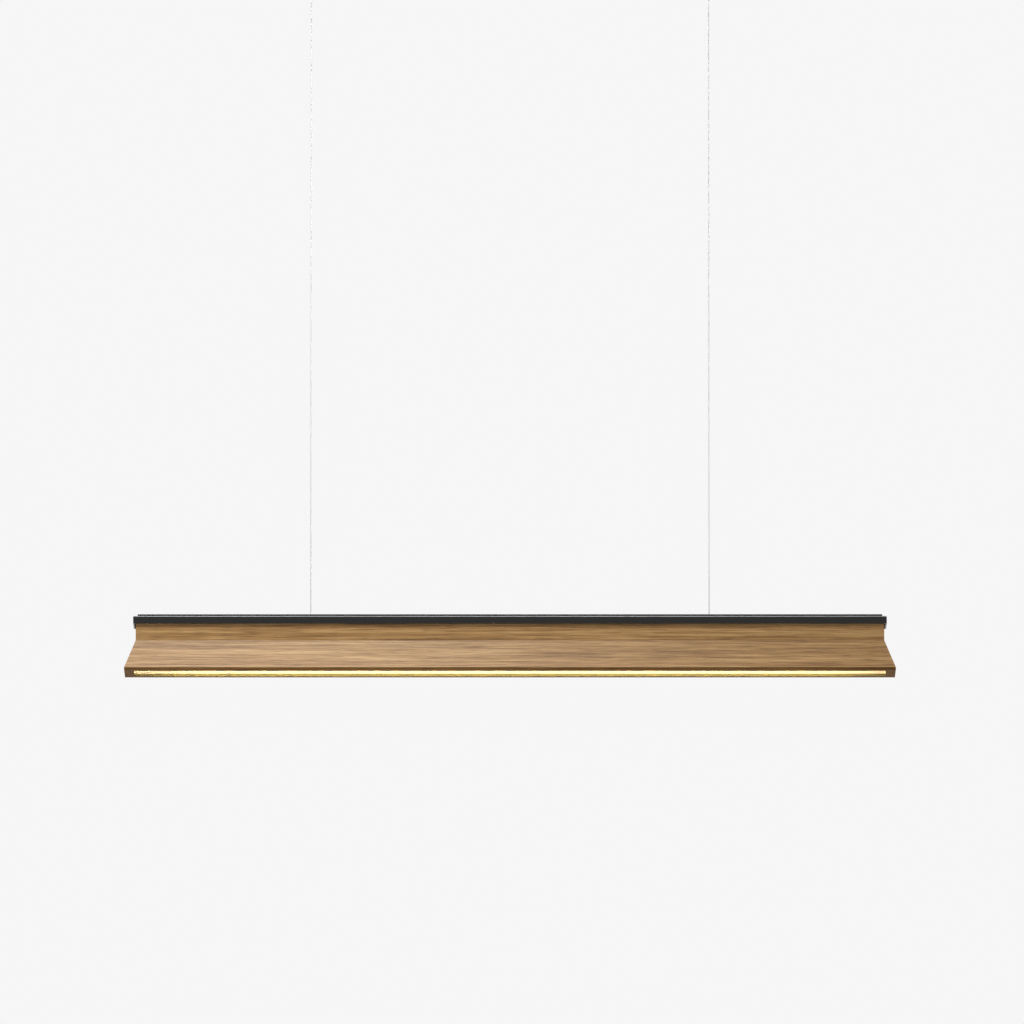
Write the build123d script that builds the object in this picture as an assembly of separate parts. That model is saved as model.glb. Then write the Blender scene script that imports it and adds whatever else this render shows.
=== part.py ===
from build123d import *
import math
import os

# Linear chandelier: a flared wooden shade under a black metal top, hung on two steel cables that
# also carry its low voltage supply. Millimetres. The origin is on the ceiling, at the middle of the
# mounting plate. X runs along the lamp, -Y is the front and +Z is up.

# Suspension
cable_spacing = 630.0
drop = 1065.0  # ceiling to the top of the lid
cable_diameter = 1.5
cable_hole_diameter = 2.2
swing_limit = 15.0  # degrees either way, front to back
sway_limit = 15.0  # degrees either way, end to end
roll_limit = 15.0  # degrees either way, lamp about its anchors

# Wooden shade
rim_length = 1219.0
rim_width = 102.0
flare = 18.0
flare_height = 45.0
rim_lip = 4.3
band_height = 35.8
panel_thickness = 15.0

# Black top of the lamp
top_overhang = 4.0
channel_height = 12.0
channel_wall = 2.5
skirt_wall = 2.0
end_cap_length = 16.0
lid_height = 3.5
lid_sheet = 1.2
lid_end_inset = 7.0
lid_side_inset = 5.5
edge_chamfer = 1.2

# Light source
tray_end_gap = 59.5  # from the tray's end to the end of the rim
tray_width = 30.0
tray_height = 10.0
tray_wall = 1.5
service_space = 8.0  # between the channel's top wall and the tray
board_width = 24.0
board_thickness = 1.2
board_gap = 4.0
board_end_gap = 5.0
chip_size = 3.2
chip_height = 0.8
chip_pitch = 20.0
lens_wall = 1.5
lens_height = 13.0
lens_drop = 6.0  # below the tray's legs
lens_fit = 0.2
lens_plug = 3.0

# Canopy
canopy_end = 35.0  # beyond the cable
canopy_width = 60.0
canopy_height = 32.0
canopy_wall = 2.0
canopy_corner = 4.0
plate_inset = 20.0
plate_thickness = 2.0
plate_flange = 12.0
plate_fit = 0.2
box_hole_spacing = 88.9
box_hole_diameter = 4.6
anchor_hole_spacing = 560.0
anchor_hole_diameter = 5.0
supply_hole_diameter = 20.0
driver_length = 150.0
driver_width = 36.0
driver_height = 20.0
driver_ear = 8.0
driver_ear_thickness = 2.0
driver_centre = -160.0
terminal_length = 30.0
terminal_width = 22.0
terminal_height = 14.0
terminal_centre = 100.0
terminal_ways = (-7.0, 0.0, 7.0)
terminal_opening = 3.2
terminal_opening_depth = 6.0
terminal_opening_rise = 5.0
terminal_head_radius = 3.0
terminal_head_depth = 2.5
ground_screw_at = 66.0

# Ball joint in the ceiling
head_radius = 7.0
head_flat = 6.6  # height of the flat above the ball's centre
neck_radius = 2.5
swivel_ring_wall = 1.55
swivel_ring_lip = 1.0
swivel_ring_drop = 5.2
ceiling_socket_radius = 10.5
ceiling_socket_depth = 10.0
ceiling_socket_rise = 7.0
ceiling_flange_radius = 13.5
ceiling_flange = 3.0
ceiling_bush_flange = 2.0
ceiling_bush_wall = 1.5
ceiling_washer = 1.5
ceiling_nut_flats = 27.0
ceiling_nut_height = 4.0

# Cable gripper
barrel_radius = 6.5
barrel_length = 24.0
plug_radius = 4.0
plug_length = 5.0
chamber_radius = 3.8
throat_radius = 2.65
throat_length = 1.5
taper_length = 5.5
plunger_pocket_radius = 4.6
barrel_lip = 1.0
plunger_travel = 2.0
button_radius = 3.4
button_length = 3.5
plunger_flange = 1.5
grip_ball_radius = 1.0
spring_wall = 1.0

# Ball joint in the lamp
ferrule_radius = 3.0
ferrule_flat = 2.85
seat_ring_wall = 1.16
seat_ring_lip = 1.0
seat_ring_rise = 2.4
pivot_depth = 8.5  # below the top of the lid
anchor_neck_radius = 5.2
anchor_neck_rise = 7.1
anchor_flange_radius = 8.0
anchor_flange = 4.5
anchor_bush_flange = 1.5
anchor_bush_wall = 1.25
anchor_washer = 0.5
anchor_nut_flats = 15.0
anchor_nut_height = 1.6

# Fasteners and leads
lead_radius = 0.8
lead_bend = 3.0
lug_thickness = 0.8
lug_width = 3.0
lug_reach = 17.8  # from the socket's axis to the end of the lug's tab
lug_tab_half_width = 2.0
lug_run = 14.0
lane_gap = 5.0
lane_start = 40.0
lane_end = 50.0
outlet_rise = 4.0
supply_bend = 20.0
supply_level_run = 60.0
supply_slope_end = 110.0
supply_insert = 4.0
feed_reach = 27.0
tail_rise = 4.0
tail_level = 7.0  # below the mounting plate
wood_screw_radius = 2.0
wood_screw_length = 22.0
wood_screw_inset = 129.5
machine_screw_radius = 1.5
tray_screw_inset = 70.0
tray_middle_screw = 120.0
lid_screw_inset = 55.5
lid_middle_screw = 200.0
spacer_radius = 4.0
bracket_leg = 22.0
bracket_short_leg = 16.0
bracket_height = 20.0
bracket_thickness = 2.0
bracket_screw_radius = 1.5
bracket_screw_length = 11.0
bracket_screw_edge = 5.0
canopy_screw_radius = 2.0
canopy_screw_inset = 100.0
canopy_screw_drop = 8.0
canopy_screw_length = 5.0
canopy_head_radius = 3.8
canopy_head_height = 2.0
machine_head_radius = 2.8
machine_head_height = 1.8
lid_head_height = 1.4
wood_head_radius = 3.5
wood_head_height = 2.0
bracket_head_radius = 2.7
bracket_head_height = 1.2

# Fits
running_gap = 0.05
thread_gap = 0.02
tilt_gap = 0.3
screw_end_gap = 0.3
lug_play = 0.15
plunger_play = 0.5
plunger_side_gap = 0.2
small_chamfer = 0.6
case_chamfer = 1.5
cut_past = 1.0  # how far a cut runs on beyond the wall that it opens

# Worked out from the sizes above
half_cables = cable_spacing / 2
canopy_length = cable_spacing + 2 * canopy_end
plate_length = canopy_length - 2 * plate_inset
canopy_screw_x = canopy_length / 2 - canopy_screw_inset
tray_length = rim_length - 2 * tray_end_gap
plunger_pocket = plunger_flange + plunger_travel + plunger_play
cable_radius = cable_diameter / 2
cable_hole_radius = cable_hole_diameter / 2
lamp_top = -drop
channel_top = lamp_top - lid_height
wood_top = channel_top - channel_wall
channel_low = channel_top - channel_height
crease = wood_top - band_height
lip_top = crease - flare_height
rim = lip_top - rim_lip
band_half_length = rim_length / 2 - flare
band_half_width = rim_width / 2 - flare
inner_half_length = band_half_length - panel_thickness
inner_half_width = band_half_width - panel_thickness
top_half_length = band_half_length + top_overhang
top_half_width = band_half_width + top_overhang
channel_half_length = top_half_length - end_cap_length
tray_screw_x = tray_length / 2 - tray_screw_inset
tray_screw_places = (-tray_screw_x, -tray_middle_screw, tray_middle_screw, tray_screw_x)
lid_screw_x = top_half_length - lid_screw_inset
lid_screw_places = (-lid_screw_x, -lid_middle_screw, lid_middle_screw, lid_screw_x)
wood_screw_spacing = (rim_length / 2 - wood_screw_inset) / 2
tray_top = wood_top - service_space
board_top = tray_top - tray_wall
canopy_floor = -canopy_height
socket_low = canopy_floor - ceiling_bush_flange - ceiling_flange
ceiling_pivot = socket_low + ceiling_socket_depth
lamp_pivot = lamp_top - pivot_depth


def both_tilts(first, second):
    """The angle, in radians, between a line and the same line tilted both ways at once."""
    return math.acos(math.cos(math.radians(first)) * math.cos(math.radians(second)))


ceiling_tilt = both_tilts(swing_limit, sway_limit)
lamp_tilt = both_tilts(sway_limit, roll_limit)
swivel_ring_in = head_radius + running_gap
swivel_ring_out = swivel_ring_in + swivel_ring_wall
seat_ring_in = ferrule_radius + running_gap
seat_ring_out = seat_ring_in + seat_ring_wall
barrel_drop = (
    ceiling_socket_depth + tilt_gap + barrel_radius * math.sin(ceiling_tilt)
) / math.cos(ceiling_tilt)
barrel_top = ceiling_pivot - barrel_drop
barrel_low = barrel_top - barrel_length
throat_low = barrel_low + barrel_lip + plunger_pocket
taper_low = throat_low + throat_length
taper_high = taper_low + taper_length
taper_slope = (chamber_radius - throat_radius) / taper_length
grip_ball_place = cable_radius + grip_ball_radius + thread_gap
grip_ball_wall = grip_ball_place + grip_ball_radius * math.hypot(1, taper_slope) + thread_gap
grip_ball_height = taper_low + (grip_ball_wall - throat_radius) / taper_slope
stem_top = grip_ball_height - grip_ball_radius - running_gap
flange_low = barrel_low + barrel_lip + running_gap
cable_top = ceiling_pivot + head_flat
cable_low = lamp_pivot + ferrule_flat


def block(x_low, x_high, y_low, y_high, z_low, z_high):
    middle = ((x_low + x_high) / 2, (y_low + y_high) / 2, (z_low + z_high) / 2)
    return Pos(*middle) * Box(x_high - x_low, y_high - y_low, z_high - z_low)


def rod(radius, low, high, x=0.0, y=0.0):
    return Pos(x, y, (low + high) / 2) * Cylinder(radius, high - low)


def washer(outer, inner, low, high):
    return rod(outer, low, high) - rod(inner, low, high)


def hex_nut(flats, hole, low, high):
    body = extrude(RegularPolygon(flats / math.sqrt(3), 6), high - low)
    return Pos(0, 0, low) * body - rod(hole, low, high)


def ball(radius, x=0.0, y=0.0, z=0.0):
    return Pos(x, y, z) * Sphere(radius)


def ball_ring(inner, outer, low, high):
    """A ring with a hollow and an outside that are balls about the same centre."""
    return (ball(outer) - ball(inner)) & rod(outer + 1, low, high)


def tilt_hole(radius, tilt, reach):
    """The cone that a rod of this radius sweeps below its pivot, down to this reach."""
    wide = reach * math.tan(tilt) + radius / math.cos(tilt) + tilt_gap
    narrow = radius / math.cos(tilt) + tilt_gap
    return Pos(0, 0, -reach / 2) * Cone(narrow, wide, reach, rotation=(180, 0, 0))


def pan_screw(radius, length, head_radius, head_height):
    """A screw that points down, with the underside of its head at z = 0."""
    return rod(radius, -length, 0) + rod(head_radius, 0, head_height)


def wire(points, bends, radius):
    path = FilletPolyline(*points, radius=bends)
    start = Plane(origin=path @ 0, z_dir=path % 0)
    return sweep(start * Circle(radius), path=path)


def save(name, *solids):
    """Writes one node, as one solid or as a group of separate ones."""
    whole = solids[0] if len(solids) == 1 else Compound(children=list(solids))
    export_step(whole, f"parts/{name}.step")


def along_sides(make):
    """The same solid at the left and the right cable."""
    return [Pos(-half_cables, 0, 0) * make(), Pos(half_cables, 0, 0) * make()]


def mounting_plate():
    half = canopy_width / 2 - canopy_wall - plate_fit
    plate = block(-plate_length / 2, plate_length / 2, -half, half, -plate_thickness, 0)
    for side in (-1, 1):
        inner = side * (half - plate_thickness)
        flange_low_z = -plate_thickness - plate_flange
        low_y, high_y = sorted((inner, side * half))
        plate += block(
            -plate_length / 2, plate_length / 2, low_y, high_y, flange_low_z, 0
        )
    for x in (-box_hole_spacing / 2, box_hole_spacing / 2):
        plate -= rod(box_hole_diameter / 2, -plate_thickness - cut_past, cut_past, x)
    for x in (-anchor_hole_spacing / 2, anchor_hole_spacing / 2):
        plate -= rod(anchor_hole_diameter / 2, -plate_thickness - cut_past, cut_past, x)
    plate -= rod(supply_hole_diameter / 2, -plate_thickness - cut_past, cut_past)
    for x in driver_screw_places() + [ground_screw_at, terminal_centre]:
        plate -= rod(machine_screw_radius + thread_gap, -plate_thickness - cut_past, cut_past, x)
    for hole in canopy_screw_holes():
        plate -= hole
    return plate


def driver_screw_places():
    reach = driver_length / 2 + driver_ear / 2
    return [driver_centre - reach, driver_centre + reach]


def canopy_screw_holes():
    places = [
        (x, side)
        for x in (-canopy_screw_x, canopy_screw_x)
        for side in (-1, 1)
    ]
    return [
        Pos(x, side * canopy_width / 2, -canopy_screw_drop)
        * Cylinder(canopy_screw_radius + thread_gap, 12, rotation=(90, 0, 0))
        for x, side in places
    ]


def canopy_cover():
    half_x, half_y = canopy_length / 2, canopy_width / 2
    shell = block(-half_x, half_x, -half_y, half_y, canopy_floor, 0)
    shell = fillet(shell.edges().filter_by(Axis.Z), canopy_corner)
    shell = fillet(shell.faces().sort_by(Axis.Z)[0].edges(), edge_chamfer)
    inner_x, inner_y = half_x - canopy_wall, half_y - canopy_wall
    shell -= block(-inner_x, inner_x, -inner_y, inner_y, canopy_floor + canopy_wall, cut_past)
    hole = ceiling_socket_radius + thread_gap + ceiling_bush_wall + running_gap
    for x in (-half_cables, half_cables):
        shell -= rod(hole, canopy_floor - cut_past, canopy_floor + canopy_wall + cut_past, x)
    for screw_hole in canopy_screw_holes():
        shell -= screw_hole
    return shell


def canopy_screws():
    screws = []
    for x in (-canopy_screw_x, canopy_screw_x):
        for side in (-1, 1):
            screw = pan_screw(
                canopy_screw_radius, canopy_screw_length, canopy_head_radius, canopy_head_height
            )
            place = Pos(x, side * canopy_width / 2, -canopy_screw_drop)
            screws.append(place * Rot(-90 * side, 0, 0) * screw)
    return screws


def driver_case():
    low = -plate_thickness - driver_height
    half_x, half_y = driver_length / 2, driver_width / 2
    case = block(-half_x, half_x, -half_y, half_y, low, -plate_thickness)
    case = chamfer(case.faces().sort_by(Axis.Z)[0].edges(), case_chamfer)
    ear_x = half_x + driver_ear
    ear_low = -plate_thickness - driver_ear_thickness
    case += block(-ear_x, ear_x, -half_y / 2, half_y / 2, ear_low, -plate_thickness)
    case = Pos(driver_centre, 0, 0) * case
    for x in driver_screw_places():
        case -= rod(machine_screw_radius + thread_gap, ear_low - cut_past, 0, x)
    return case


def upward_screw(x, head_top, length):
    """A small screw driven up from below, with the top of its head at head_top."""
    screw = Rot(180, 0, 0) * pan_screw(
        machine_screw_radius, length, machine_head_radius, machine_head_height
    )
    return Pos(x, 0, head_top) * screw


def driver_screws():
    ear_low = -plate_thickness - driver_ear_thickness
    length = plate_thickness + driver_ear_thickness - screw_end_gap
    return [upward_screw(x, ear_low, length) for x in driver_screw_places()]


def terminal_low():
    return -plate_thickness - terminal_height


def supply_terminal():
    half_x, half_y = terminal_length / 2, terminal_width / 2
    terminal = block(-half_x, half_x, -half_y, half_y, terminal_low(), -plate_thickness)
    opening = Box(2 * terminal_opening_depth, terminal_opening, terminal_opening)
    for y in terminal_ways:
        for x in (-half_x, half_x):
            terminal -= Pos(x, y, terminal_low() + terminal_opening_rise) * opening
    terminal -= rod(machine_screw_radius + thread_gap, terminal_low() - cut_past, 0)
    terminal -= rod(terminal_head_radius, terminal_low() - cut_past, terminal_low() + terminal_head_depth)
    return Pos(terminal_centre, 0, 0) * terminal


def terminal_screws():
    length = terminal_height - terminal_head_depth + plate_thickness - screw_end_gap
    fixing = upward_screw(terminal_centre, terminal_low() + terminal_head_depth, length)
    ground = upward_screw(ground_screw_at, -plate_thickness, plate_thickness - screw_end_gap)
    return [fixing, ground]


def supply_leads():
    start = driver_centre + driver_length / 2
    end = terminal_centre - terminal_length / 2 + supply_insert
    high, low = -plate_thickness - driver_height / 2, terminal_low() + terminal_opening_rise
    leads = []
    for y in (terminal_ways[0], terminal_ways[-1]):
        points = [
            (start, y, high),
            (start + supply_level_run, y, high),
            (start + supply_slope_end, y, low),
            (end, y, low),
        ]
        leads.append(wire(points, supply_bend, lead_radius))
    return leads


def lug_low():
    return canopy_floor + canopy_wall + ceiling_washer


def output_lead(side):
    """The low voltage lead from the driver's end to one cable's socket, with its ring lug."""
    low, high = lug_low(), lug_low() + lug_thickness
    ring = washer(ceiling_socket_radius + lug_width, ceiling_socket_radius + lug_play, low, high)
    tab_start = ceiling_socket_radius + lug_width / 2
    tab = block(tab_start, lug_reach, -lug_tab_half_width, lug_tab_half_width, low, high)
    lug = ring + (Rot(0, 0, 180) * tab if side > 0 else tab)
    lug = Pos(side * half_cables, 0, 0) * lug
    level = (low + high) / 2
    edge = side * (half_cables - lug_reach + 1)
    driver_end = driver_centre + side * driver_length / 2
    outlet = -plate_thickness - driver_height + outlet_rise
    lane = terminal_width / 2 + lane_gap
    points = [(edge, 0, level), (edge - side * lug_run, 0, level)]
    if side > 0:
        points += [(edge - lane_start, lane, level), (driver_end + lane_end, lane, level)]
    points += [(driver_end + side * lug_run, 0, outlet), (driver_end, 0, outlet)]
    return lug + wire(points, lead_bend, lead_radius)


def ceiling_socket():
    low, high = -ceiling_socket_depth, ceiling_socket_rise
    seat = swivel_ring_out + running_gap
    socket = rod(ceiling_socket_radius, low, high)
    socket += rod(ceiling_flange_radius, low, low + ceiling_flange)
    socket -= ball(seat) + rod(seat, 0, high + 1)
    socket -= tilt_hole(neck_radius, ceiling_tilt, ceiling_socket_depth + 1)
    return Pos(0, 0, ceiling_pivot) * chamfer(socket.edges().sort_by(Axis.Z)[0], 0.2)


def ceiling_socket_bush():
    """The insulating shoulder bush under the canopy, and the washer above its floor."""
    hole = ceiling_socket_radius + thread_gap
    top = canopy_floor + canopy_wall
    bush = washer(ceiling_flange_radius, hole, canopy_floor - ceiling_bush_flange, canopy_floor)
    bush += washer(hole + ceiling_bush_wall, hole, canopy_floor, top - running_gap)
    return [bush, washer(ceiling_flange_radius + 1, hole, top, top + ceiling_washer)]


def socket_nut():
    low = lug_low() + lug_thickness
    hole = ceiling_socket_radius + thread_gap
    return hex_nut(ceiling_nut_flats, hole, low, low + ceiling_nut_height)


def cable_tail(side):
    """The cable's spare end, loose in the canopy above its swivel head."""
    x = side * half_cables
    start = ceiling_pivot + head_radius + tilt_gap
    level = -plate_thickness - tail_level
    inward = -side
    points = [
        (x, 0, start),
        (x, 0, start + tail_rise),
        (x + inward * 8, 0, level),
        (x + inward * 22, 3, level - 1),
        (x + inward * 40, 4, level),
    ]
    return wire(points, lead_bend, cable_radius)


def swivel_ring():
    ring = ball_ring(swivel_ring_in, swivel_ring_out, -swivel_ring_drop, swivel_ring_lip)
    return Pos(0, 0, ceiling_pivot) * ring


def swivel_head():
    head = ball(head_radius) & rod(head_radius + 1, -head_radius, head_flat)
    head += rod(neck_radius, -barrel_drop, 0)
    head += rod(plug_radius, -barrel_drop - plug_length, -barrel_drop)
    head -= rod(cable_hole_radius, -barrel_drop - plug_length - 1, head_radius)
    return Pos(0, 0, ceiling_pivot) * head


def gripper_barrel():
    barrel = rod(barrel_radius, barrel_low, barrel_top)
    barrel = chamfer(barrel.edges().filter_by(GeomType.CIRCLE), small_chamfer)
    barrel -= rod(plug_radius + thread_gap, barrel_top - plug_length, barrel_top)
    barrel -= rod(chamber_radius, taper_high, barrel_top - plug_length)
    middle = (taper_low + taper_high) / 2
    barrel -= Pos(0, 0, middle) * Cone(throat_radius, chamber_radius, taper_length)
    barrel -= rod(throat_radius, throat_low, taper_low)
    barrel -= rod(plunger_pocket_radius, barrel_low + barrel_lip, throat_low)
    barrel -= rod(button_radius + tilt_gap, barrel_low, barrel_low + barrel_lip)
    return barrel


def gripper_spring():
    bottom = grip_ball_height + grip_ball_radius + running_gap
    outer = throat_radius + (bottom - taper_low) * taper_slope - running_gap
    return washer(outer, outer - spring_wall, bottom, barrel_top - plug_length)


def release_plunger():
    plunger = rod(button_radius, barrel_low - button_length, flange_low)
    plunger = chamfer(plunger.edges().sort_by(Axis.Z)[0], small_chamfer)
    plunger += rod(plunger_pocket_radius - plunger_side_gap, flange_low, flange_low + plunger_flange)
    plunger += rod(throat_radius - plunger_side_gap, flange_low, stem_top)
    return plunger - rod(cable_hole_radius, barrel_low - button_length - 1, stem_top + 1)


def grip_balls():
    places = PolarLocations(grip_ball_place, 3)
    return [Pos(0, 0, grip_ball_height) * place * Sphere(grip_ball_radius) for place in places]


def cable():
    return rod(cable_radius, cable_low, cable_top)


def ball_ferrule():
    ferrule = ball(ferrule_radius) & rod(ferrule_radius + 1, -ferrule_radius, ferrule_flat)
    return Pos(0, 0, lamp_pivot) * ferrule


def seat_ring():
    ring = ball_ring(seat_ring_in, seat_ring_out, -seat_ring_lip, seat_ring_rise)
    return Pos(0, 0, lamp_pivot) * ring


def anchor_socket():
    """Holds the ferrule and its ring from above, with its flange under the channel's wall."""
    seat = seat_ring_out + running_gap
    flange_top = anchor_flange_top()
    socket = rod(anchor_neck_radius, flange_top - anchor_flange, anchor_neck_rise)
    socket += rod(anchor_flange_radius, flange_top - anchor_flange, flange_top)
    socket -= ball(seat) + rod(seat, flange_top - anchor_flange - 1, 0)
    hole = tilt_hole(cable_radius, lamp_tilt, anchor_neck_rise + 1)
    return Pos(0, 0, lamp_pivot) * (socket - Rot(180, 0, 0) * hole)


def anchor_flange_top():
    """Height of the flange's upper face above the lamp's pivot."""
    return wood_top - anchor_bush_flange - lamp_pivot


def anchor_bush():
    hole = anchor_neck_radius + thread_gap
    low = wood_top - anchor_bush_flange
    bush = washer(anchor_flange_radius + 1, hole, low, wood_top)
    bush += washer(hole + anchor_bush_wall, hole, wood_top, channel_top - running_gap)
    upper = washer(anchor_flange_radius, hole, channel_top, channel_top + anchor_washer)
    return [bush, upper]


def anchor_nut():
    low = channel_top + anchor_washer
    hole = anchor_neck_radius + thread_gap
    return hex_nut(anchor_nut_flats, hole, low, low + anchor_nut_height)


def feed_wire(side):
    """From an anchor's flange, through the tray, to the board below it."""
    start = side * (half_cables - anchor_flange_radius - running_gap)
    end = side * (half_cables - feed_reach)
    level = wood_top - service_space / 2
    return wire([(start, 0, level), (end, 0, level), (end, 0, board_top)], lead_bend, lead_radius)


def lid():
    half_x = top_half_length - lid_end_inset
    half_y = top_half_width - lid_side_inset
    cover = block(-half_x, half_x, -half_y, half_y, channel_top, lamp_top)
    cover = chamfer(cover.faces().sort_by(Axis.Z)[-1].edges(), small_chamfer)
    inner_x, inner_y = half_x - lid_sheet, half_y - lid_sheet
    cover -= block(-inner_x, inner_x, -inner_y, inner_y, channel_top, lamp_top - lid_sheet)
    hole = pivot_depth * math.tan(lamp_tilt) + cable_radius / math.cos(lamp_tilt) + tilt_gap
    for x in (-half_cables, half_cables):
        cover -= rod(hole, channel_top, lamp_top, x)
    for x in lid_screw_places:
        cover -= rod(machine_screw_radius + thread_gap, channel_top, lamp_top, x)
    return cover


def lid_screws():
    length = lid_height + channel_wall - screw_end_gap
    screw = pan_screw(machine_screw_radius, length, machine_head_radius, lid_head_height)
    return [Pos(x, 0, lamp_top) * screw for x in lid_screw_places]


def shade_screw_places():
    half_y = band_half_width - panel_thickness / 2
    along = [(n * wood_screw_spacing, side * half_y) for n in range(-2, 3) for side in (-1, 1)]
    end_x = band_half_length - panel_thickness / 2 - 0.5
    return along, [(-end_x, 0.0), (end_x, 0.0)]


def shade_screws():
    along, ends = shade_screw_places()
    screw = pan_screw(wood_screw_radius, wood_screw_length, wood_head_radius, wood_head_height)
    return [Pos(x, y, channel_top) * screw for x, y in along + ends]


def top_shell(half_x):
    """The channel's section as a box with no bottom, out to half_x at both ends."""
    half_y = top_half_width
    shell = block(-half_x, half_x, -half_y, half_y, channel_low, channel_top)
    return chamfer(shell.faces().sort_by(Axis.Z)[-1].edges(), edge_chamfer)


def top_inside(half_x):
    half_y = top_half_width - skirt_wall
    return block(-half_x, half_x, -half_y, half_y, channel_low, wood_top)


def top_channel():
    channel = top_shell(top_half_length) - top_inside(top_half_length)
    channel &= block(
        -channel_half_length, channel_half_length, -top_half_width, top_half_width, channel_low, channel_top
    )
    for x in (-half_cables, half_cables):
        hole = anchor_neck_radius + thread_gap + anchor_bush_wall + running_gap
        channel -= rod(hole, wood_top, channel_top, x)
    for x in lid_screw_places + tray_screw_places:
        channel -= rod(machine_screw_radius + thread_gap, wood_top, channel_top, x)
    for x, y in shade_screw_places()[0]:
        channel -= rod(wood_screw_radius + thread_gap, wood_top, channel_top, x, y)
    return channel


def end_cap(side):
    cap = top_shell(top_half_length) - top_inside(top_half_length - skirt_wall)
    low_x, high_x = sorted((side * channel_half_length, side * top_half_length))
    cap &= block(low_x, high_x, -top_half_width, top_half_width, channel_low, channel_top)
    for x, y in shade_screw_places()[1]:
        cap -= rod(wood_screw_radius + thread_gap, wood_top, channel_top, x, y)
    return cap


def panel_profile(half_band):
    """Points of a panel's section, as its distance from the lamp's middle and its height."""
    inner = half_band - panel_thickness
    return [
        (half_band, wood_top),
        (half_band, crease),
        (half_band + flare, lip_top),
        (half_band + flare, rim),
        (inner + flare, rim),
        (inner + flare, lip_top),
        (inner, crease),
        (inner, wood_top),
    ]


def mitre_block():
    """The space between the two mitres at each end: what the front and rear panels fill."""
    reach = rim_width
    near = band_half_length - band_half_width
    far = near + reach
    points = [(-near, 0), (near, 0), (far, -reach), (-far, -reach)]
    outline = make_face(Polyline(*points, close=True))
    front = Pos(0, 0, rim - 1) * extrude(outline, wood_top - rim + 2)
    return front + Rot(0, 0, 180) * front


def long_panel(side):
    points = [(0, side * y, z) for y, z in panel_profile(band_half_width)]
    section = make_face(Polyline(*points, close=True))
    panel = extrude(section, rim_length / 2, dir=(1, 0, 0), both=True) & mitre_block()
    for x, y in shade_screw_places()[0]:
        panel -= wood_hole(x, y)
    for x in (-1, 1):
        panel -= bracket_holes(x, side)[0]
    return panel


def end_panel(side):
    points = [(side * x, 0, z) for x, z in panel_profile(band_half_length)]
    section = make_face(Polyline(*points, close=True))
    panel = extrude(section, rim_width / 2, dir=(0, 1, 0), both=True) - mitre_block()
    for x, y in shade_screw_places()[1]:
        panel -= wood_hole(x, y)
    for y in (-1, 1):
        panel -= bracket_holes(side, y)[1]
    return panel


def wood_hole(x, y):
    low = channel_top - wood_screw_length - running_gap
    return rod(wood_screw_radius + thread_gap, low, wood_top, x, y)


def bracket_low():
    return tray_top - bracket_height


def bracket_screw_spots(side_x, side_y):
    """Where a corner bracket's two screws stand, and which way each points."""
    height = bracket_low() + bracket_height / 2
    long_x = side_x * (inner_half_length - bracket_leg / 2)
    long_spot = Pos(long_x, side_y * (inner_half_width - bracket_thickness), height)
    short_y = side_y * (inner_half_width - bracket_short_leg + bracket_screw_edge)
    short_spot = Pos(side_x * (inner_half_length - bracket_thickness), short_y, height)
    return long_spot * Rot(90 * side_y, 0, 0), short_spot * Rot(0, -90 * side_x, 0)


def bracket_holes(side_x, side_y):
    hole = rod(bracket_screw_radius + thread_gap, -bracket_screw_length - running_gap, 1)
    return [spot * hole for spot in bracket_screw_spots(side_x, side_y)]


def corner_bracket(side_x, side_y):
    low, high = bracket_low(), bracket_low() + bracket_height
    x, y = side_x * inner_half_length, side_y * inner_half_width
    inner_x, inner_y = x - side_x * bracket_thickness, y - side_y * bracket_thickness
    leg_x, leg_y = x - side_x * bracket_leg, y - side_y * bracket_short_leg
    bracket = block(*sorted((leg_x, x)), *sorted((inner_y, y)), low, high)
    bracket += block(*sorted((inner_x, x)), *sorted((leg_y, y)), low, high)
    for hole in bracket_holes(side_x, side_y):
        bracket -= hole
    return bracket


def bracket_screws():
    screw = pan_screw(
        bracket_screw_radius, bracket_screw_length, bracket_head_radius, bracket_head_height
    )
    return [
        spot * screw
        for side_x in (-1, 1)
        for side_y in (-1, 1)
        for spot in bracket_screw_spots(side_x, side_y)
    ]


def led_tray():
    half_x, half_y = tray_length / 2, tray_width / 2
    low = tray_top - tray_height
    tray = block(-half_x, half_x, -half_y, half_y, low, tray_top)
    inner = half_y - tray_wall
    tray -= block(-half_x, half_x, -inner, inner, low, board_top)
    for x in tray_screw_places:
        tray -= rod(machine_screw_radius + thread_gap, board_top, tray_top, x)
    for side in (-1, 1):
        tray -= rod(lead_radius * 2, board_top, tray_top, side * (half_cables - feed_reach))
    return tray


def tray_spacers():
    spacer = washer(spacer_radius, machine_screw_radius + thread_gap, tray_top, wood_top)
    return [Pos(x, 0, 0) * spacer for x in tray_screw_places]


def tray_screws():
    length = channel_wall + service_space + tray_wall - 0.1
    screw = pan_screw(machine_screw_radius, length, 2.8, 2.0)
    return [Pos(x, 0, channel_top) * screw for x in tray_screw_places]


def board_spans():
    outer = tray_length / 2 - board_end_gap
    return [(-outer, -board_gap / 2), (board_gap / 2, outer)]


def led_boards():
    half_y = board_width / 2
    low = board_top - board_thickness
    return [block(start, end, -half_y, half_y, low, board_top) for start, end in board_spans()]


def led_chips():
    high = board_top - board_thickness
    chips = []
    for start, end in board_spans():
        count = int((end - start) // chip_pitch)
        for n in range(count):
            x = (start + end) / 2 + (n - (count - 1) / 2) * chip_pitch
            half = chip_size / 2
            chips.append(block(x - half, x + half, -half, half, high - chip_height, high))
    return chips


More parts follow.
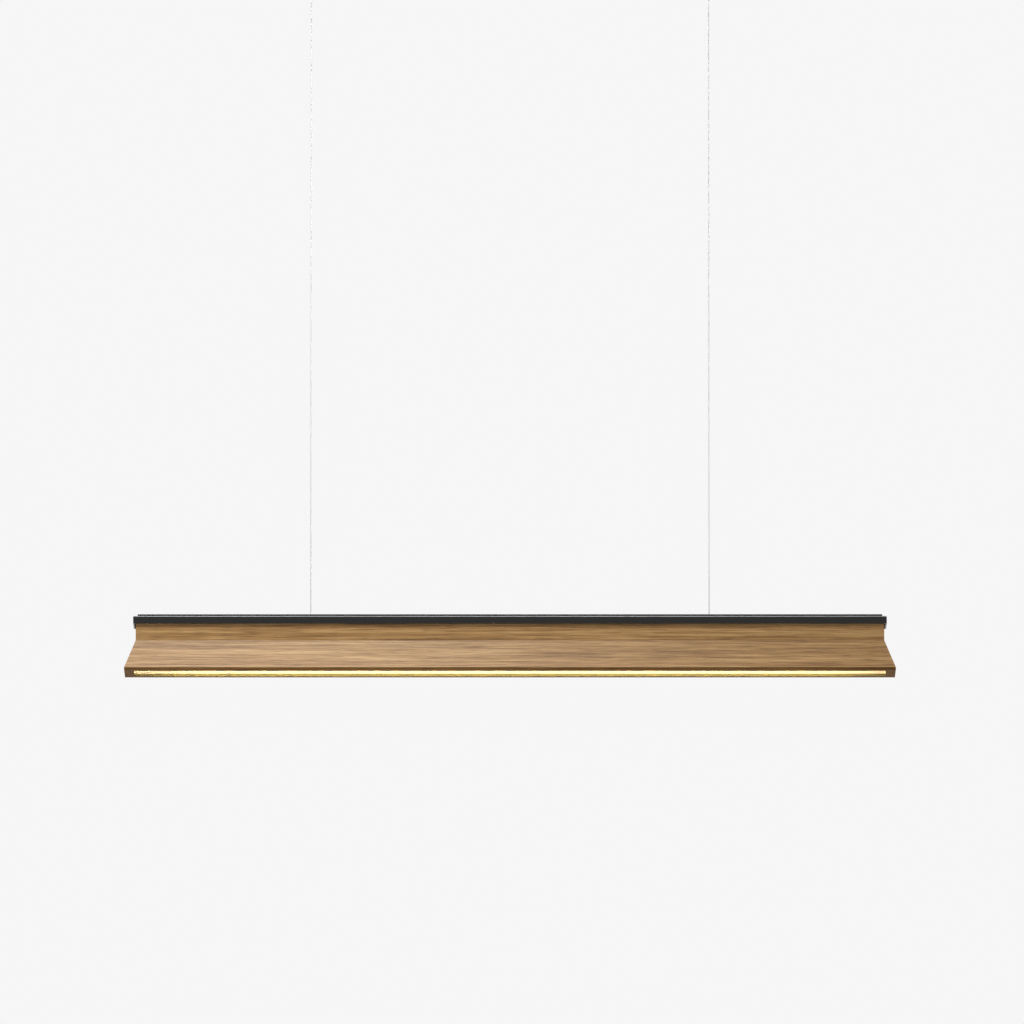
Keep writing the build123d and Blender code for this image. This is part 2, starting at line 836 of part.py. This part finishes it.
def lens():
    half_x, inner = tray_length / 2, tray_width / 2 + lens_fit
    outer = inner + lens_wall
    low = tray_top - tray_height - lens_drop
    cover = block(-half_x, half_x, -outer, outer, low, low + lens_height)
    cover = fillet(cover.faces().sort_by(Axis.Z)[0].edges().filter_by(Axis.X), 2.0)
    inside = block(-half_x, half_x, -inner, inner, low + lens_wall, low + lens_height)
    inside = fillet(inside.faces().sort_by(Axis.Z)[0].edges().filter_by(Axis.X), 0.8)
    return cover - inside


def lens_end_plugs():
    half_y = tray_width / 2 + lens_fit + lens_wall
    low = tray_top - tray_height - lens_drop
    plugs = []
    for side in (-1, 1):
        near, far = side * tray_length / 2, side * (tray_length / 2 + lens_plug)
        plug = block(*sorted((near, far)), -half_y, half_y, low, tray_top)
        plugs.append(fillet(plug.faces().sort_by(Axis.Z)[0].edges().filter_by(Axis.X), 2.0))
    return plugs


def write_sides(name, make):
    """The same solid at both cables, as two nodes."""
    for side, solid in zip(("left", "right"), along_sides(make)):
        save(f"{side}_{name}", solid)


def write_canopy():
    save("mounting_plate", mounting_plate())
    save("canopy_cover", canopy_cover())
    save("canopy_screws", *canopy_screws())
    save("driver_case", driver_case())
    save("driver_screws", *driver_screws())
    save("supply_terminal", supply_terminal())
    save("terminal_screws", *terminal_screws())
    save("supply_leads", *supply_leads())
    write_sides("ceiling_socket", ceiling_socket)
    bushes = ceiling_socket_bush()
    save("socket_bushes", *[Pos(x, 0, 0) * b for x in (-half_cables, half_cables) for b in bushes])
    save("socket_nuts", *along_sides(socket_nut))
    for name, side in (("left", -1), ("right", 1)):
        save(f"{name}_output_lead", output_lead(side))
        save(f"{name}_cable_tail", cable_tail(side))


def write_suspension():
    write_sides("swivel_ring", swivel_ring)
    write_sides("swivel_head", swivel_head)
    write_sides("gripper_barrel", gripper_barrel)
    write_sides("gripper_spring", gripper_spring)
    write_sides("release_plunger", release_plunger)
    write_sides("cable", cable)
    write_sides("ball_ferrule", ball_ferrule)
    write_sides("seat_ring", seat_ring)
    for name, x in (("left", -half_cables), ("right", half_cables)):
        save(f"{name}_grip_balls", *[Pos(x, 0, 0) * b for b in grip_balls()])


def write_lamp():
    write_sides("anchor_socket", anchor_socket)
    bushes = anchor_bush()
    save("anchor_bushes", *[Pos(x, 0, 0) * b for x in (-half_cables, half_cables) for b in bushes])
    save("anchor_nuts", *along_sides(anchor_nut))
    save("left_feed_wire", feed_wire(-1))
    save("right_feed_wire", feed_wire(1))
    save("lid", lid())
    save("lid_screws", *lid_screws())
    save("top_channel", top_channel())
    save("left_end_cap", end_cap(-1))
    save("right_end_cap", end_cap(1))
    save("shade_front_panel", long_panel(-1))
    save("shade_rear_panel", long_panel(1))
    save("shade_left_panel", end_panel(-1))
    save("shade_right_panel", end_panel(1))
    save("shade_screws", *shade_screws())
    save("corner_brackets", *[corner_bracket(x, y) for x in (-1, 1) for y in (-1, 1)])
    save("bracket_screws", *bracket_screws())
    save("led_tray", led_tray())
    save("tray_spacers", *tray_spacers())
    save("tray_screws", *tray_screws())
    save("led_boards", *led_boards())
    save("led_chips", *led_chips())
    save("lens", lens())
    save("lens_end_plugs", *lens_end_plugs())


os.makedirs("parts", exist_ok=True)
write_canopy()
write_suspension()
write_lamp()
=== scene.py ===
import math
import bmesh
import bpy
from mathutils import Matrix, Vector


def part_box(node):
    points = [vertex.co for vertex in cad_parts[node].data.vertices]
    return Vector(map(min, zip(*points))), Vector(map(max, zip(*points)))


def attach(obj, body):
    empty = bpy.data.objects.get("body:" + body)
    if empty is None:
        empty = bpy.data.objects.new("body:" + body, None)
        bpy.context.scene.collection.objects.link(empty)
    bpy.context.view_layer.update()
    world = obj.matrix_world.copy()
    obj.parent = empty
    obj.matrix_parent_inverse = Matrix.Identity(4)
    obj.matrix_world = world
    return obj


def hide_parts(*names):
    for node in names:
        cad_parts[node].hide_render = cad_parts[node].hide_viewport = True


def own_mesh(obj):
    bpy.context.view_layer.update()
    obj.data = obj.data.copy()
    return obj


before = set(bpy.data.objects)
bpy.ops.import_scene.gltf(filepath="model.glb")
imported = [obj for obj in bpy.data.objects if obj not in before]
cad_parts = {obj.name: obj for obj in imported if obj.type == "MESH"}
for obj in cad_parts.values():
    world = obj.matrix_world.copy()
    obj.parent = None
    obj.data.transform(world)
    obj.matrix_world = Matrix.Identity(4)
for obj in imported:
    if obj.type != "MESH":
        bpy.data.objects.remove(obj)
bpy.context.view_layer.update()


def linear(hexColour):
    # sRGB hex to the linear values that the shaders want
    parts = [int(hexColour[n:n + 2], 16) / 255 for n in (1, 3, 5)]
    return [p / 12.92 if p <= 0.04045 else ((p + 0.055) / 1.055) ** 2.4 for p in parts] + [1.0]


def putInScene(name, data):
    made = bpy.data.objects.new(name, data)
    bpy.context.scene.collection.objects.link(made)
    return made


# Camera. The lamp is seen square on, a few degrees from below, with a long lens
camera = {
    "distance": 40.0,
    "below": 7.1,  # degrees
    "widthSeen": 1.6206,  # metres across the picture at the lamp
    "aim": (0.0032, 0.0, -0.8985),
    "sensor": 36.0,
    "clipEnd": 400,
}


def makeCamera():
    data = bpy.data.cameras.new("camera")
    data.sensor_width = camera["sensor"]
    data.lens = camera["sensor"] * camera["distance"] / camera["widthSeen"]
    data.clip_end = camera["clipEnd"]
    cam = putInScene("camera", data)
    angle = math.radians(camera["below"])
    back = Vector((0, -math.cos(angle), -math.sin(angle)))
    cam.location = Vector(camera["aim"]) + back * camera["distance"]
    cam.rotation_euler = (math.radians(90) + angle, 0, 0)
    bpy.context.scene.camera = cam


makeCamera()
print("camera set")


# Node trees
def add(tree, kind, settings=None, **links):
    # one node with its settings; a link names an input, or in_3 for the input numbered 3
    n = tree.nodes.new(kind)
    for key, value in (settings or {}).items():
        if isinstance(key, int) or key in n.inputs:
            n.inputs[key].default_value = value
        else:
            setattr(n, key, value)
    for key, source in links.items():
        place = int(key[3:]) if key.startswith("in_") else key.replace("_", " ")
        tree.links.new(source, n.inputs[place])
    return n


def newMaterial(name):
    m = bpy.data.materials.new(name)
    m.use_nodes = True
    m.node_tree.nodes.clear()
    return m, m.node_tree


def rampOf(tree, factor, stops):
    ramp = add(tree, "ShaderNodeValToRGB", None, Fac=factor)
    band = ramp.color_ramp
    while len(band.elements) < len(stops):
        band.elements.new(0.5)
    for element, (place, colour) in zip(band.elements, stops):
        element.position = place
        element.color = linear(colour)
    return ramp.outputs["Color"]


def finishSurface(tree, shader):
    add(tree, "ShaderNodeOutputMaterial", None, Surface=shader)


# Walnut, planed and oiled: straight grain along each board, open pores, a dull sheen
walnut = {
    "tones": [(0.36, "#64431F"), (0.5, "#9C7647"), (0.64, "#BF9A66")],
    "inside": "#F3E8CC",  # pale lacquer that throws the light down; the grain still shows through
    "insideCover": 0.93,
    "insideTurn": (-0.004, -0.008),  # a face turned this far towards the middle is an inner one
    # each: length and width of a streak in millimetres, then the noise's detail and roughness
    "figure": (560.0, 11.0, 3.0, 0.55),
    "grain": (130.0, 2.3, 6.0, 0.75),
    "pores": (36.0, 1.0, 2.0, 0.5),  # real pores are 0.3 wide; these are coarser, to show
    "grainShare": 0.7,
    "poreEdge": (0.36, 0.46),
    "poreShade": 0.66,
    "poreDepth": 0.00012,
    "poreBump": 0.6,
    "roughness": (0.52, 0.36),  # where the grain is low, where it is high
    "gloss": 0.35,
    "ior": 1.48,
    "lipTop": -1.1518,  # metres; the rim below it is painted dark, a painted shade
    "lipEdge": (0.0003, -0.0002),
    # painted shade on the outer face of the rim, standing in for the shadow along the bottom edge
    "lipShade": (0.38, 0.33, 0.22, 1.0),
    # painted shade on the inner face of the rim, which gets less of the lamp's light
    "lipInsideShade": "#5E5E45",
}


def oiledWalnut(name, along):
    # along is the axis that the grain runs on
    m, t = newMaterial(name)
    place = add(t, "ShaderNodeTexCoord").outputs["Object"]

    def streaks(length, width, detail, roughness):
        size = [1000 / width] * 3
        size[along] = 1000 / length
        drawn = add(t, "ShaderNodeMapping", {"Scale": size}, Vector=place).outputs["Vector"]
        return add(
            t, "ShaderNodeTexNoise", {"Scale": 1.0, "Detail": detail, "Roughness": roughness},
            Vector=drawn,
        ).outputs["Fac"]

    figure, grain, pores = (streaks(*walnut[layer]) for layer in ("figure", "grain", "pores"))
    both = add(
        t, "ShaderNodeMix", {"data_type": "FLOAT", 0: walnut["grainShare"]},
        in_2=figure, in_3=grain,
    )
    tone = rampOf(t, both.outputs[0], walnut["tones"])
    poreLow, poreHigh = walnut["poreEdge"]
    poreMask = add(
        t, "ShaderNodeMapRange",
        {"From Min": poreLow, "From Max": poreHigh, "To Min": walnut["poreShade"], "To Max": 1.0},
        Value=pores,
    ).outputs["Result"]
    colour = add(
        t, "ShaderNodeMix", {"data_type": "RGBA", "blend_type": "MULTIPLY", 0: 1.0},
        in_6=tone, in_7=poreMask,
    )
    height = add(t, "ShaderNodeSeparateXYZ", None, Vector=place).outputs["Z"]
    aboveLip, belowLip = (walnut["lipTop"] + step for step in walnut["lipEdge"])
    onLip = add(
        t, "ShaderNodeMapRange", {"From Min": aboveLip, "From Max": belowLip}, Value=height
    ).outputs["Result"]
    outward = add(
        t, "ShaderNodeVectorMath", {"operation": "DOT_PRODUCT"},
        in_0=add(
            t, "ShaderNodeVectorMath", {"operation": "MULTIPLY", 1: (1, 1, 0)}, in_0=place
        ).outputs[0],
        in_1=add(t, "ShaderNodeTexCoord").outputs["Normal"],
    ).outputs["Value"]
    turnLow, turnHigh = walnut["insideTurn"]
    inside = add(
        t, "ShaderNodeMapRange",
        {"From Min": turnLow, "From Max": turnHigh, "To Max": walnut["insideCover"]}, Value=outward,
    ).outputs["Result"]
    lacquered = add(
        t, "ShaderNodeMix", {"data_type": "RGBA", 7: linear(walnut["inside"])},
        in_0=inside, in_6=colour.outputs[2],
    )
    # painted shade: the rim below the lip line is darkened, as if in shadow
    shadedRim = add(
        t, "ShaderNodeMix", {"data_type": "RGBA", "blend_type": "MULTIPLY", 7: walnut["lipShade"]},
        in_0=onLip, in_6=colour.outputs[2],
    )
    # painted shade on the inner face of the rim
    shadedLip = add(
        t, "ShaderNodeMix", {"data_type": "RGBA", 7: linear(walnut["lipInsideShade"])},
        in_0=inside, in_6=shadedRim.outputs[2],
    )
    surface = add(
        t, "ShaderNodeMix", {"data_type": "RGBA"},
        in_0=onLip, in_6=lacquered.outputs[2], in_7=shadedLip.outputs[2],
    )
    bump = add(
        t, "ShaderNodeBump", {"Strength": walnut["poreBump"], "Distance": walnut["poreDepth"]},
        Height=poreMask,
    ).outputs["Normal"]
    rough = add(
        t, "ShaderNodeMapRange",
        {"To Min": walnut["roughness"][0], "To Max": walnut["roughness"][1]}, Value=grain,
    ).outputs["Result"]
    dull = add(t, "ShaderNodeMath", {"operation": "MAXIMUM"}, in_0=rough, in_1=onLip).outputs[0]
    shader = add(
        t, "ShaderNodeBsdfPrincipled",
        {"IOR": walnut["ior"], "Metallic": 0.0, "Specular IOR Level": walnut["gloss"]},
        Base_Color=surface.outputs[2], Roughness=dull, Normal=bump,
    )
    finishSurface(t, shader.outputs[0])
    return m


# Plain finishes: what each is made of, how it was made, and what that shows
finishes = {
    # extruded aluminium, satin black anodised: faint lengthwise die lines
    "blackAnodised": {"hex": "#0F0F0E", "second": "#191817", "metallic": 0.0, "rough": 0.3,
                      "size": (180.0, 1.2, 1.2), "depth": 0.00002, "gloss": 0.3},
    # pressed steel, powder coated: fine orange peel
    "blackPowderCoat": {"hex": "#101010", "second": "#181818", "metallic": 0.0, "rough": 0.48,
                        "size": (1.4, 1.4, 1.4), "depth": 0.00004, "gloss": 0.35},
    # pressed steel, zinc plated: cloudy spangle
    "zincPlated": {"hex": "#A9ABA9", "second": "#C4C5C2", "metallic": 1.0, "rough": 0.36,
                   "size": (7.0, 7.0, 7.0), "depth": 0.00001},
    # blackened screw steel
    "blackenedSteel": {"hex": "#2B2B2C", "second": "#3A3A3A", "metallic": 0.9, "rough": 0.42,
                       "size": (2.0, 2.0, 2.0), "depth": 0.00001},
    # turned brass, nickel plated: fine rings from the lathe
    "nickelBrass": {"hex": "#B9B2A2", "second": "#CFC9BC", "metallic": 1.0, "rough": 0.26,
                    "size": (40.0, 40.0, 0.5), "depth": 0.00001},
    # drawn stainless strands
    "strandedStainless": {"hex": "#B9B9B6", "second": "#C8C8C5", "metallic": 1.0, "rough": 0.38,
                          "size": (0.6, 0.6, 5.0), "depth": 0.00002},
    # moulded nylon
    "mouldedNylon": {"hex": "#D6D3C8", "second": "#E2DFD6", "metallic": 0.0, "rough": 0.5,
                     "size": (3.0, 3.0, 3.0), "depth": 0.00003},
    # extruded aluminium as it left the mill: lengthwise lines
    "millAluminium": {"hex": "#BCBDBE", "second": "#D0D1D2", "metallic": 1.0, "rough": 0.34,
                      "size": (150.0, 0.8, 0.8), "depth": 0.00002},
    # white solder mask on a lamp board
    "solderMask": {"hex": "#E4E4DE", "second": "#EEEEEA", "metallic": 0.0, "rough": 0.3,
                   "size": (4.0, 4.0, 4.0), "depth": 0.00001},
    # phosphor of the lamp chips
    "phosphor": {"hex": "#E2B84A", "second": "#ECCB6E", "metallic": 0.0, "rough": 0.6,
                 "size": (0.6, 0.6, 0.6), "depth": 0.00002},
    # moulded ABS of the driver
    "mouldedAbs": {"hex": "#DCDCD7", "second": "#E6E6E2", "metallic": 0.0, "rough": 0.5,
                   "size": (0.9, 0.9, 0.9), "depth": 0.00004},
    # PVC insulation
    "blackPvc": {"hex": "#1A1A1B", "second": "#242425", "metallic": 0.0, "rough": 0.45,
                 "size": (2.0, 2.0, 2.0), "depth": 0.00002},
    "redPvc": {"hex": "#8C1C18", "second": "#A02822", "metallic": 0.0, "rough": 0.45,
               "size": (2.0, 2.0, 2.0), "depth": 0.00002},
}


# What all plain finishes share
plain = {"detail": 3.0, "tones": (0.3, 0.7), "roughSpread": 0.07, "bump": 0.5, "gloss": 0.5}


def plainFinish(name):
    look = finishes[name]
    m, t = newMaterial(name)
    place = add(t, "ShaderNodeTexCoord").outputs["Object"]
    size = [1000 / s for s in look["size"]]
    grainPlace = add(t, "ShaderNodeMapping", {"Scale": size}, Vector=place).outputs["Vector"]
    fine = add(
        t, "ShaderNodeTexNoise", {"Scale": 1.0, "Detail": plain["detail"]}, Vector=grainPlace
    ).outputs["Fac"]
    colour = rampOf(t, fine, list(zip(plain["tones"], (look["hex"], look["second"]))))
    spread = plain["roughSpread"]
    rough = add(
        t, "ShaderNodeMapRange",
        {"To Min": look["rough"] - spread, "To Max": look["rough"] + spread}, Value=fine,
    ).outputs["Result"]
    bump = add(
        t, "ShaderNodeBump", {"Strength": plain["bump"], "Distance": look["depth"]}, Height=fine
    ).outputs["Normal"]
    shader = add(
        t, "ShaderNodeBsdfPrincipled",
        {"Metallic": look["metallic"], "Specular IOR Level": look.get("gloss", plain["gloss"])},
        Base_Color=colour, Roughness=rough, Normal=bump,
    )
    finishSurface(t, shader.outputs[0])
    return m


# Opal polycarbonate, extruded: it glows, a little brighter over each chip
opal = {
    "hex": "#F4EDDC",
    "glow": "#FFE3B4",
    "strength": 25.0,
    "chipPitch": 20.0,  # millimetres
    "ripple": 0.08,
    "rough": 0.35,
    "ior": 1.58,
}


def opalPolycarbonate():
    m, t = newMaterial("opalPolycarbonate")
    place = add(t, "ShaderNodeTexCoord").outputs["Object"]
    split = add(t, "ShaderNodeSeparateXYZ", None, Vector=place)
    turn = add(
        t, "ShaderNodeMath", {"operation": "MULTIPLY", 1: 2 * math.pi * 1000 / opal["chipPitch"]},
        in_0=split.outputs["X"],
    )
    wave = add(t, "ShaderNodeMath", {"operation": "COSINE"}, in_0=turn.outputs[0]).outputs[0]
    strength = add(
        t, "ShaderNodeMapRange",
        {"From Min": -1.0, "From Max": 1.0, "To Min": opal["strength"] * (1 - opal["ripple"]),
         "To Max": opal["strength"] * (1 + opal["ripple"])},
        Value=wave,
    ).outputs["Result"]
    shader = add(
        t, "ShaderNodeBsdfPrincipled",
        {"Base Color": linear(opal["hex"]), "Roughness": opal["rough"], "IOR": opal["ior"],
         "Emission Color": linear(opal["glow"])},
        Emission_Strength=strength,
    )
    finishSurface(t, shader.outputs[0])
    return m


materials = {name: plainFinish(name) for name in finishes}
materials["walnutAlongX"] = oiledWalnut("oiledWalnutAlong", 0)
materials["walnutAlongY"] = oiledWalnut("oiledWalnutAcross", 1)
materials["opal"] = opalPolycarbonate()
print("materials made")

finishOfNode = {
    "blackAnodised": ["lid", "top_channel", "left_end_cap", "right_end_cap"],
    "blackPowderCoat": ["canopy_cover"],
    "zincPlated": ["mounting_plate", "driver_screws", "terminal_screws", "corner_brackets",
                   "bracket_screws", "tray_screws"],
    "blackenedSteel": ["canopy_screws", "lid_screws", "shade_screws"],
    "nickelBrass": ["socket_nuts", "anchor_nuts"],
    "mouldedNylon": ["supply_terminal", "socket_bushes", "anchor_bushes"],
    "millAluminium": ["led_tray", "tray_spacers"],
    "solderMask": ["led_boards", "lens_end_plugs"],
    "phosphor": ["led_chips"],
    "mouldedAbs": ["driver_case"],
    "blackPvc": ["supply_leads", "right_output_lead", "right_feed_wire"],
    "redPvc": ["left_output_lead", "left_feed_wire"],
    "opal": ["lens"],
}
sideFinish = {
    "nickelBrass": ["ceiling_socket", "swivel_ring", "swivel_head", "gripper_barrel",
                    "release_plunger", "seat_ring", "anchor_socket"],
    "zincPlated": ["gripper_spring", "ball_ferrule", "grip_balls"],
}
for finish, pieces in sideFinish.items():
    for side in ("left", "right"):
        finishOfNode[finish] += [f"{side}_{piece}" for piece in pieces]


def dress(node, finish):
    data = bpy.data.objects[node].data
    data.materials.clear()
    data.materials.append(materials[finish])


def dressNodes():
    for finish, nodes in finishOfNode.items():
        for name in nodes:
            dress(name, finish)


dressNodes()
print("nodes dressed")


# Suspension cables: six strands laid round a seventh, along a NURBS line
cable = {
    "halfSpacing": 0.315,
    "top": -0.0204,
    "bottom": -1.07065,
    "diameter": 0.0015,
    "lay": 0.009,  # one turn of the strands
    "outerStrands": 6,
    "strandSides": 8,
    "curveOrder": 3,
    "stepsPerTurn": 12,
    "leastSteps": 8,
    "heightKept": 0.286,  # of the free length, with the lamp pulled all the way up
}
canopyTail = {
    "start": -0.0197,
    "points": [(0, 0, 0), (0, 0, 0.004), (0.008, 0, 0.0107),
               (0.022, 0.003, 0.0097), (0.04, 0.004, 0.0107)],
}


def routeLine(points):
    # the smooth line of a route, read from its NURBS spline
    curve = bpy.data.curves.new("route", "CURVE")
    curve.dimensions = "3D"
    spline = curve.splines.new("NURBS")
    spline.points.add(len(points) - 1)
    for knot, place in zip(spline.points, points):
        knot.co = (*place, 1.0)
    spline.order_u = cable["curveOrder"]
    spline.use_endpoint_u = True
    length = sum((Vector(a) - Vector(b)).length for a, b in zip(points, points[1:]))
    spans = len(points) - 2
    steps = int(cable["stepsPerTurn"] * length / cable["lay"] / spans)
    spline.resolution_u = max(cable["leastSteps"], steps)
    holder = putInScene("route", curve)
    bpy.context.view_layer.update()
    line = [v.co.copy() for v in bpy.data.meshes.new_from_object(holder).vertices]
    bpy.data.objects.remove(holder)
    return line


def strandedCable(name, points):
    line = routeLine(points)
    strand = cable["diameter"] / 6  # radius of one strand, with three strands across
    outer = cable["outerStrands"]
    sides = cable["strandSides"]
    bm = bmesh.new()
    frames = []
    across = Vector((1, 0, 0))
    travelled = 0.0
    for n, here in enumerate(line):
        ahead = line[min(n + 1, len(line) - 1)] - line[max(n - 1, 0)]
        ahead.normalize()
        across = (across - ahead * across.dot(ahead)).normalized()
        travelled += (here - line[max(n - 1, 0)]).length
        turn = 2 * math.pi * travelled / cable["lay"]
        frames.append((here, across.copy(), ahead.cross(across), turn))
    for k in range(outer + 1):
        rings = []
        for here, u, v, turn in frames:
            angle = turn + k * 2 * math.pi / outer
            reach = 0 if k == outer else 2 * strand  # the last strand is the straight core
            middle = here + (u * math.cos(angle) + v * math.sin(angle)) * reach
            ring = []
            for s in range(sides):
                a = angle + 2 * math.pi * s / sides
                edge = (u * math.cos(a) + v * math.sin(a)) * strand
                ring.append(bm.verts.new(middle + edge))
            rings.append(ring)
        for low, high in zip(rings, rings[1:]):
            for s in range(sides):
                t = (s + 1) % sides
                bm.faces.new((low[s], low[t], high[t], high[s])).smooth = True
        bm.faces.new(rings[0][::-1])
        bm.faces.new(rings[-1])
    mesh = bpy.data.meshes.new(name)
    bm.to_mesh(mesh)
    bm.free()
    piece = putInScene(name, mesh)
    mesh.materials.append(materials["strandedStainless"])
    return piece, line


def makeCables():
    for side, sign in (("left", -1), ("right", 1)):
        x = sign * cable["halfSpacing"]
        top, bottom = cable["top"], cable["bottom"]
        route = [(x, 0, top + (bottom - top) * n / 4) for n in range(5)]
        piece, line = strandedCable(f"{side}SuspensionCable", route)
        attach(piece, f"{side}_gripper")
        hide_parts(f"{side}_cable")
        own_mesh(piece)
        start = canopyTail["start"]
        spare = [(x - sign * a, b, start + c) for a, b, c in canopyTail["points"]]
        tail, tailLine = strandedCable(f"{side}CableTail", spare)
        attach(tail, "canopy")
        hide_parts(f"{side}_cable_tail")


makeCables()
print("cables laid")

# Gripper springs: a coil of round wire in each barrel, squeezed when its button is pushed
coil = {
    "wire": 0.00042,  # radius
    "turns": 5,
    "steps": 20,
    "sides": 10,
    "push": 0.002,  # how far the button goes in
}


def gripperSpring(side):
    low, high = (Vector(corner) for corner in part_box(f"{side}_gripper_spring"))
    middle = (low + high) / 2
    reach = (high.x - low.x) / 2 - coil["wire"]
    rise = high.z - low.z - 2 * coil["wire"]
    count = coil["turns"] * coil["steps"]
    bm = bmesh.new()
    rings = []
    for n in range(count + 1):
        angle = 2 * math.pi * n / coil["steps"]
        out = Vector((math.cos(angle), math.sin(angle), 0))
        height = low.z + coil["wire"] + rise * n / count
        centre = Vector((middle.x, middle.y, height)) + out * reach
        ring = []
        for k in range(coil["sides"]):
            a = 2 * math.pi * k / coil["sides"]
            offset = out * math.cos(a) + Vector((0, 0, math.sin(a)))
            ring.append(bm.verts.new(centre + offset * coil["wire"]))
        rings.append(ring)
    for one, two in zip(rings, rings[1:]):
        for k in range(coil["sides"]):
            m = (k + 1) % coil["sides"]
            bm.faces.new((one[k], two[k], two[m], one[m])).smooth = True
    bm.faces.new(rings[0])
    bm.faces.new(rings[-1][::-1])
    bmesh.ops.recalc_face_normals(bm, faces=bm.faces)
    mesh = bpy.data.meshes.new(f"{side}CoilSpring")
    bm.to_mesh(mesh)
    bm.free()
    mesh.materials.append(materials["zincPlated"])
    spring = putInScene(mesh.name, mesh)
    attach(spring, f"{side}_gripper")
    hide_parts(f"{side}_gripper_spring")
    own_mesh(spring)


for side in ("left", "right"):
    gripperSpring(side)
print("springs wound")

# Wood of each panel, with the grain along it
for panel, wood in (("front", "walnutAlongX"), ("rear", "walnutAlongX"),
                    ("left", "walnutAlongY"), ("right", "walnutAlongY")):
    dress(f"shade_{panel}_panel", wood)
print("shade panels in walnut")

# Studio: a pale floor far below, a pale surround, four softboxes
studio = {
    "pale": "#F6F6F6",
    "floorHeight": -2.72,
    "floorSize": 300.0,
    "floorLift": 0.56,  # keeps the floor pale where the lamps don't reach
    "rollerTexture": {"scale": 180.0, "detail": 2.0, "bump": 0.1, "depth": 0.0005},
    "floorRough": 0.9,
    "ambient": 0.3,
    "softboxes": [  # name, place, aimed at, width, height, watts
        ("frontSoftbox", (-0.46, -1.1, 0.3), (-0.32, 0.0, -1.1), 1.1, 0.6, 28.0),
        ("ceilingSoftbox", (-0.3, 0.35, 1.6), (-0.2, 0.0, -1.1), 2.2, 0.6, 84.0),
        ("sideSoftbox", (-2.6, -0.7, -0.5), (0.0, 0.0, -1.1), 1.4, 1.4, 22.0),
        ("rearSoftbox", (0.5, 2.0, 0.4), (0.0, 0.0, -0.9), 1.8, 0.9, 22.0),
    ],
}


def seenDirectly(tree):
    # 1 for camera, glossy and transmitted rays, 0 for the light that bounces
    path = add(tree, "ShaderNodeLightPath")
    first = add(
        tree, "ShaderNodeMath", {"operation": "MAXIMUM"},
        in_0=path.outputs["Is Camera Ray"], in_1=path.outputs["Is Glossy Ray"],
    ).outputs[0]
    return add(
        tree, "ShaderNodeMath", {"operation": "MAXIMUM"},
        in_0=first, in_1=path.outputs["Is Transmission Ray"],
    ).outputs[0]


def makeWorld():
    world = bpy.data.worlds.new("studio")
    bpy.context.scene.world = world
    world.use_nodes = True
    t = world.node_tree
    t.nodes.clear()
    pale = linear(studio["pale"])
    seen = add(t, "ShaderNodeBackground", {"Color": pale, "Strength": 1.0}).outputs[0]
    lit = add(t, "ShaderNodeBackground", {"Color": pale, "Strength": studio["ambient"]}).outputs[0]
    both = add(t, "ShaderNodeMixShader", None, in_0=seenDirectly(t), in_1=lit, in_2=seen)
    add(t, "ShaderNodeOutputWorld", None, Surface=both.outputs[0])


def makeFloor():
    m, t = newMaterial("paintedFloor")  # matt emulsion, faint roller texture
    place = add(t, "ShaderNodeTexCoord").outputs["Object"]
    roller = studio["rollerTexture"]
    texture = add(
        t, "ShaderNodeTexNoise", {"Scale": roller["scale"], "Detail": roller["detail"]},
        Vector=place,
    )
    bump = add(
        t, "ShaderNodeBump", {"Strength": roller["bump"], "Distance": roller["depth"]},
        Height=texture.outputs["Fac"],
    )
    paint = add(
        t, "ShaderNodeBsdfPrincipled",
        {"Base Color": linear(studio["pale"]), "Roughness": studio["floorRough"]},
        Normal=bump.outputs["Normal"],
    )
    lift = add(
        t, "ShaderNodeMath", {"operation": "MULTIPLY", 1: studio["floorLift"]},
        in_0=seenDirectly(t),
    )
    glow = add(t, "ShaderNodeEmission", {"Color": linear(studio["pale"])}, Strength=lift.outputs[0])
    lifted = add(t, "ShaderNodeAddShader", None, in_0=paint.outputs[0], in_1=glow.outputs[0])
    side = add(t, "ShaderNodeNewGeometry").outputs["Backfacing"]
    clear = add(t, "ShaderNodeBsdfTransparent").outputs[0]  # a view from below sees through it
    shader = add(t, "ShaderNodeMixShader", None, in_0=side, in_1=lifted.outputs[0], in_2=clear)
    finishSurface(t, shader.outputs[0])
    half = studio["floorSize"] / 2
    mesh = bpy.data.meshes.new("floor")
    corners = [(-half, -half), (half, -half), (half, half), (-half, half)]
    mesh.from_pydata([(x, y, studio["floorHeight"]) for x, y in corners], [], [(0, 1, 2, 3)])
    mesh.materials.append(m)
    putInScene("floor", mesh)


def makeSoftboxes():
    for name, place, target, width, height, watts in studio["softboxes"]:
        lamp = bpy.data.lights.new(name, "AREA")
        lamp.shape = "RECTANGLE"
        lamp.size, lamp.size_y, lamp.energy = width, height, watts
        holder = putInScene(name, lamp)
        holder.location = place
        towards = Vector(target) - Vector(place)
        holder.rotation_euler = towards.to_track_quat("-Z", "Y").to_euler()


makeWorld()
makeFloor()
makeSoftboxes()
bpy.context.scene.view_settings.view_transform = "Standard"
print("studio lit")
